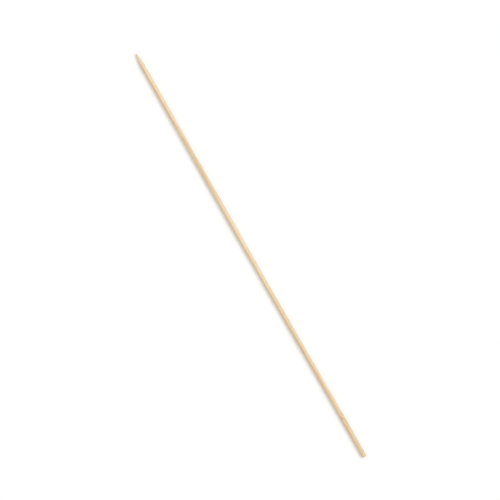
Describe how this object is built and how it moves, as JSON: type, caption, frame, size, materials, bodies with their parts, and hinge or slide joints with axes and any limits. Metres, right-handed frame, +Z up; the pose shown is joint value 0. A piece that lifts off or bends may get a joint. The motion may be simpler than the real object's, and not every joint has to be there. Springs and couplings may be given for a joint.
{
  "type": "bamboo skewer",
  "caption": "Long thin round bamboo stick with a ground point at one end and a square sawn end, for spearing and grilling food.",
  "frame": {"origin": "centre of the flat sawn end", "axes": "+X along the stick from the sawn end to the point, +Z up as it lies, towards the cane's outer side; the cutters' seams are at +Y and -Y"},
  "size_m": [0.3, 0.0034, 0.0031],
  "materials": {
    "bamboo": "bare tumbled bamboo, satin, with fine fibre lines along its length"
  },
  "bodies": {
    "root": {"skewer": "bamboo"}
  },
  "joints": []
}
